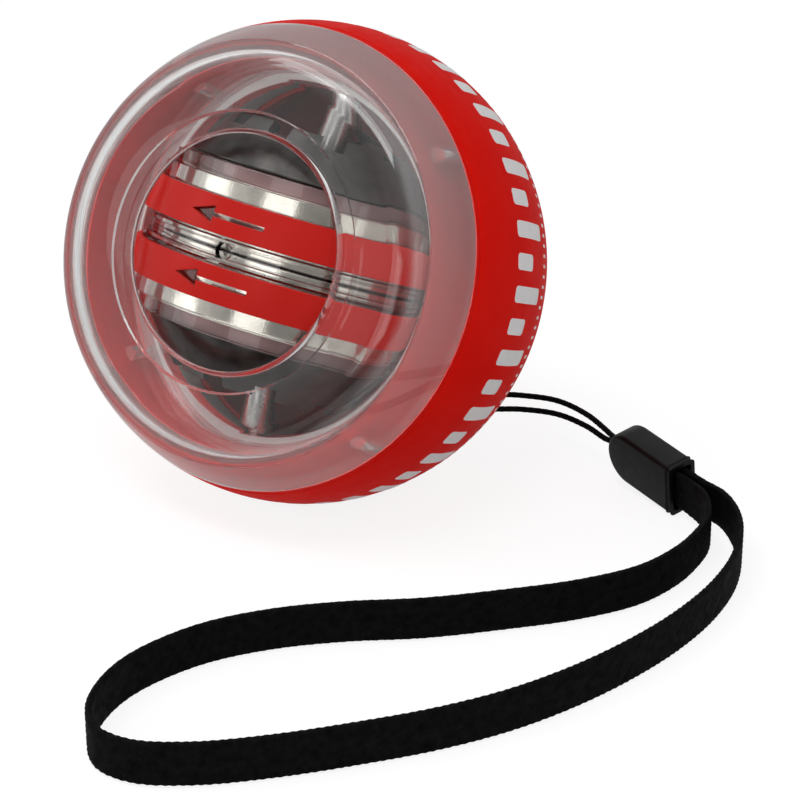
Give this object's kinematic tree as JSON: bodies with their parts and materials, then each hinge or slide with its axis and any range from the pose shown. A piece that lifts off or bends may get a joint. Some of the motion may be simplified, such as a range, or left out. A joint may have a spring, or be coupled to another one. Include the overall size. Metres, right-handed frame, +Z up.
{
  "type": "gyroscopic wrist ball",
  "caption": "Hand-held gyroscopic exercise ball: clear shells with a red grip band, a banded clear rotor with metal weights that spins and precesses, and a black wrist strap.",
  "frame": {"origin": "on the surface that the ball lies on, below the middle of the ball's box, the strap left out", "axes": "+Z up; the opening looks to -Y and up, 23 degrees above level; +X to the right seen from the opening; the strap lies towards +X and -Y"},
  "size_m": [0.1117, 0.1225, 0.074],
  "materials": {
    "clear_plastic": "clear, polished",
    "red_rubber": "soft touch, matte",
    "red_plastic": "satin",
    "steel": "turned",
    "mirror_chrome": "mirror",
    "dark_steel": "brushed, dark",
    "white_nylon": "moulded",
    "spring_steel": "blued strip",
    "brass": "stamped",
    "black_cord": "braided cord",
    "black_webbing": "braided webbing",
    "black_plastic": "moulded"
  },
  "bodies": {
    "housing": {"upper_shell": "clear_plastic", "lower_shell": "red_plastic", "grip_band": "red_rubber", "base_cap": "red_plastic", "lanyard_pin": "steel", "wrist_cord": "black_cord", "strap_connector": "black_plastic", "webbing_loop": "black_webbing"},
    "carrier": {"carrier_ring": "white_nylon"},
    "axle_set": {"axle": "steel", "spacer_upper": "steel", "spacer_lower": "steel", "ratchet_arbor": "steel"},
    "rotor": {"rotor_core": "clear_plastic", "rotor_band_upper": "red_plastic", "rotor_band_lower": "red_plastic", "weight_ring_upper": "mirror_chrome", "weight_ring_lower": "mirror_chrome", "end_disc_upper": "dark_steel", "end_disc_lower": "dark_steel", "spring_case": "steel", "start_spring": "spring_steel", "pawl_pin_one": "steel", "pawl_pin_two": "steel"},
    "pawl_one": {"pawl_one": "brass"},
    "pawl_two": {"pawl_two": "brass"}
  },
  "joints": [
    {"name": "ring_precession", "type": "hinge", "parent": "housing", "child": "carrier", "pos_m": [0, -0.00242, 0.037], "axis": [0, -0.9182, 0.3962], "continuous": true},
    {"name": "rotor_spin", "type": "hinge", "parent": "carrier", "child": "axle_set", "pos_m": [0, -0.00242, 0.037], "axis": [0.0819, 0.3949, 0.9151], "continuous": true},
    {"name": "spring_wind", "type": "hinge", "parent": "axle_set", "child": "rotor", "pos_m": [0, -0.00242, 0.037], "axis": [0.0819, 0.3949, 0.9151], "range_deg": [-720, 0]},
    {"name": "pawl_one_swing", "type": "hinge", "parent": "rotor", "child": "pawl_one", "pos_m": [0.00092, -0.00856, 0.0518], "axis": [0.0819, 0.3949, 0.9151], "range_deg": [-11.5, 0]},
    {"name": "pawl_two_swing", "type": "hinge", "parent": "rotor", "child": "pawl_two", "pos_m": [0.00092, 0.01256, 0.04269], "axis": [0.0819, 0.3949, 0.9151], "range_deg": [-11.5, 0]}
  ]
}
